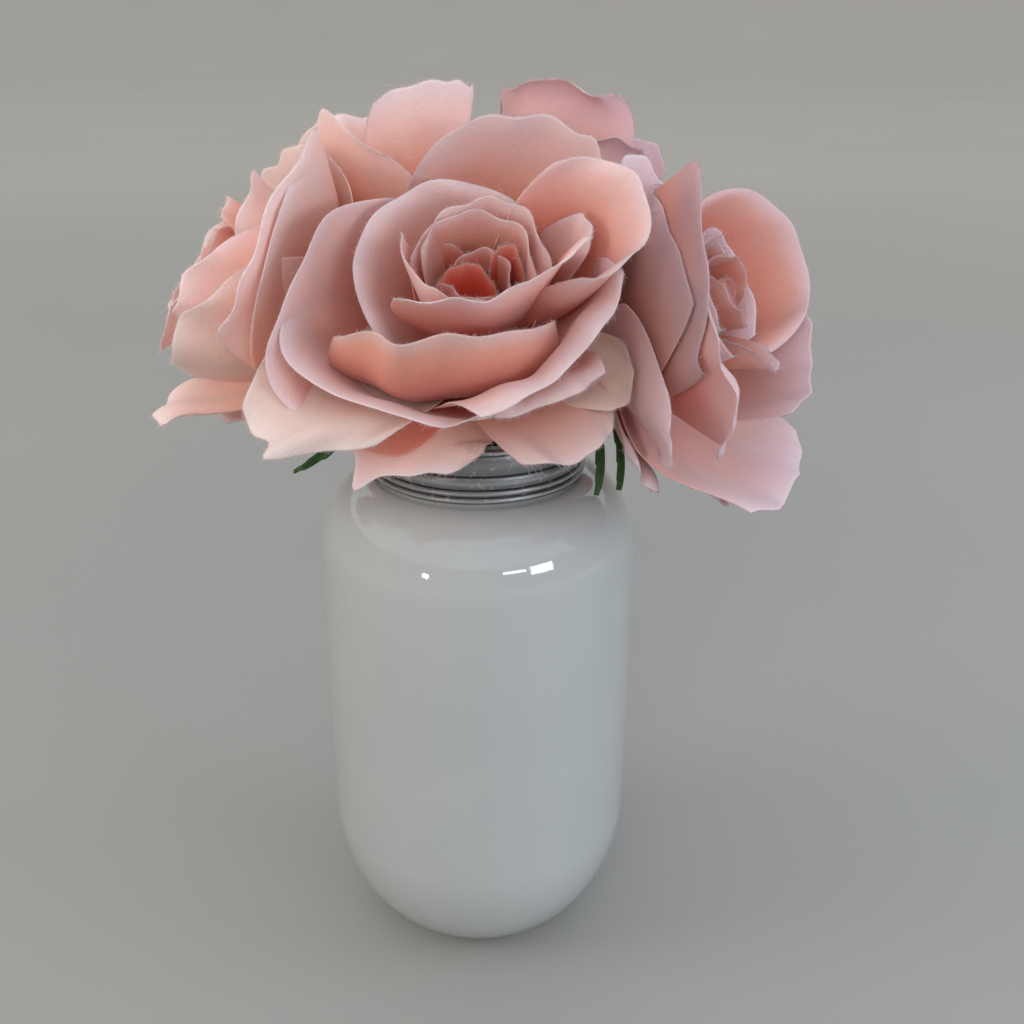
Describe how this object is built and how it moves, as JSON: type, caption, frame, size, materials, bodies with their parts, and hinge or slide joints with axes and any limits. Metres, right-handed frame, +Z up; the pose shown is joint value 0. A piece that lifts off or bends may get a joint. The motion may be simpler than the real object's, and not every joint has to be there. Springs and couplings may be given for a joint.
{
  "type": "fabric roses in a jar",
  "caption": "Blush-pink fabric roses with green sepals, standing on stems in a glossy white painted jar with a grey metal screw band.",
  "frame": {"origin": "centre of the jar's flat base, on the surface it stands on", "axes": "+Z up along the jar's axis, -Y towards the front bloom, +X to the right as seen from the front"},
  "size_m": [0.1905, 0.1597, 0.2641],
  "materials": {
    "jar": "glass painted opaque white, glossy",
    "band": "grey metal, satin, with bright edges on its beads",
    "petal": "stiffened woven cloth, matte, blush pink with salmon depths and paler rims",
    "calyx": "stiffened woven cloth and moulded cup, dark green",
    "stem": "green plastic over wire, matte"
  },
  "bodies": {
    "root": {"jar": "jar", "band": "band", "rose_front_stem": "stem", "rose_front_calyx": "calyx", "rose_front_bloom": "petal", "rose_right_stem": "stem", "rose_right_calyx": "calyx", "rose_right_bloom": "petal", "rose_left_stem": "stem", "rose_left_calyx": "calyx", "rose_left_bloom": "petal", "rose_back_left_stem": "stem", "rose_back_left_calyx": "calyx", "rose_back_left_bloom": "petal", "rose_back_right_stem": "stem", "rose_back_right_calyx": "calyx", "rose_back_right_bloom": "petal"}
  },
  "joints": []
}
